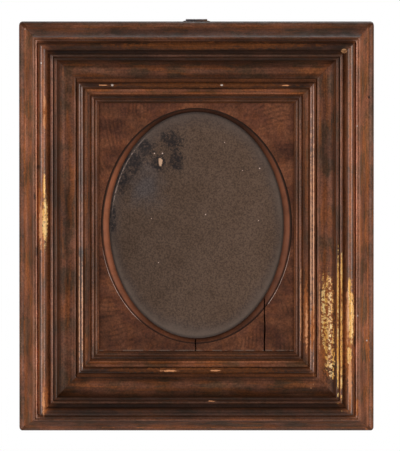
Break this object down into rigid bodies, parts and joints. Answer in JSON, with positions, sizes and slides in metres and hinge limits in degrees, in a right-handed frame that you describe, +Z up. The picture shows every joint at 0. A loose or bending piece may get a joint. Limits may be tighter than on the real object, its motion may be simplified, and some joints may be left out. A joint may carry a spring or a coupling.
{
  "type": "oval-sight picture frame",
  "caption": "Rectangular moulded wooden picture frame with an oval sight, toned gilt finish, spotted mirror plate, backing board on turn buttons and a hanging ring.",
  "frame": {"origin": "on the axis of the hanger's knuckle, in the middle of the top edge, where the frame hangs", "axes": "+X right seen from the front, +Z up, +Y towards the wall; the front faces -Y"},
  "size_m": [0.336, 0.0462, 0.3906],
  "materials": {
    "gilt_moulding": "dark toned varnish over worn gilding",
    "gilt_liner": "dark toned varnish over worn gilding",
    "base_wood": "toned strip in front, bare aged wood behind",
    "spandrel": "dark satin varnish",
    "old_mirror": "tarnished and spotted",
    "board_wood": "bare aged softwood",
    "peg_wood": "bare end grain",
    "aged_iron": "dark aged iron",
    "button_iron": "dark aged iron"
  },
  "bodies": {
    "frame": {"base_top_rail": "base_wood", "base_bottom_rail": "base_wood", "base_left_stile": "base_wood", "base_right_stile": "base_wood", "top_moulding": "gilt_moulding", "bottom_moulding": "gilt_moulding", "left_moulding": "gilt_moulding", "right_moulding": "gilt_moulding", "top_liner": "gilt_liner", "bottom_liner": "gilt_liner", "left_liner": "gilt_liner", "right_liner": "gilt_liner", "spandrel_panel": "spandrel", "mirror_plate": "old_mirror", "backing_board": "board_wood", "corner_pegs": "peg_wood", "moulding_nails": "aged_iron", "liner_brads": "aged_iron", "turn_button_screws": "aged_iron", "hanger_strap": "aged_iron", "hanger_screws": "aged_iron"},
    "ring": {"hanger_ring": "aged_iron"},
    "button_upper_left": {"turn_button_upper_left": "button_iron"},
    "button_lower_left": {"turn_button_lower_left": "button_iron"},
    "button_upper_right": {"turn_button_upper_right": "button_iron"},
    "button_lower_right": {"turn_button_lower_right": "button_iron"}
  },
  "joints": [
    {"name": "ring_swing", "type": "hinge", "parent": "frame", "child": "ring", "pos_m": [0, 0, 0], "axis": [1, 0, 0], "range_deg": [0, 220]},
    {"name": "upper_left_button_turn", "type": "hinge", "parent": "frame", "child": "button_upper_left", "pos_m": [-0.115, -0.0027, -0.11199], "axis": [0, 1, 0], "continuous": true},
    {"name": "lower_left_button_turn", "type": "hinge", "parent": "frame", "child": "button_lower_left", "pos_m": [-0.115, -0.0027, -0.27521], "axis": [0, 1, 0], "continuous": true},
    {"name": "upper_right_button_turn", "type": "hinge", "parent": "frame", "child": "button_upper_right", "pos_m": [0.115, -0.0027, -0.11199], "axis": [0, 1, 0], "continuous": true},
    {"name": "lower_right_button_turn", "type": "hinge", "parent": "frame", "child": "button_lower_right", "pos_m": [0.115, -0.0027, -0.27521], "axis": [0, 1, 0], "continuous": true}
  ]
}
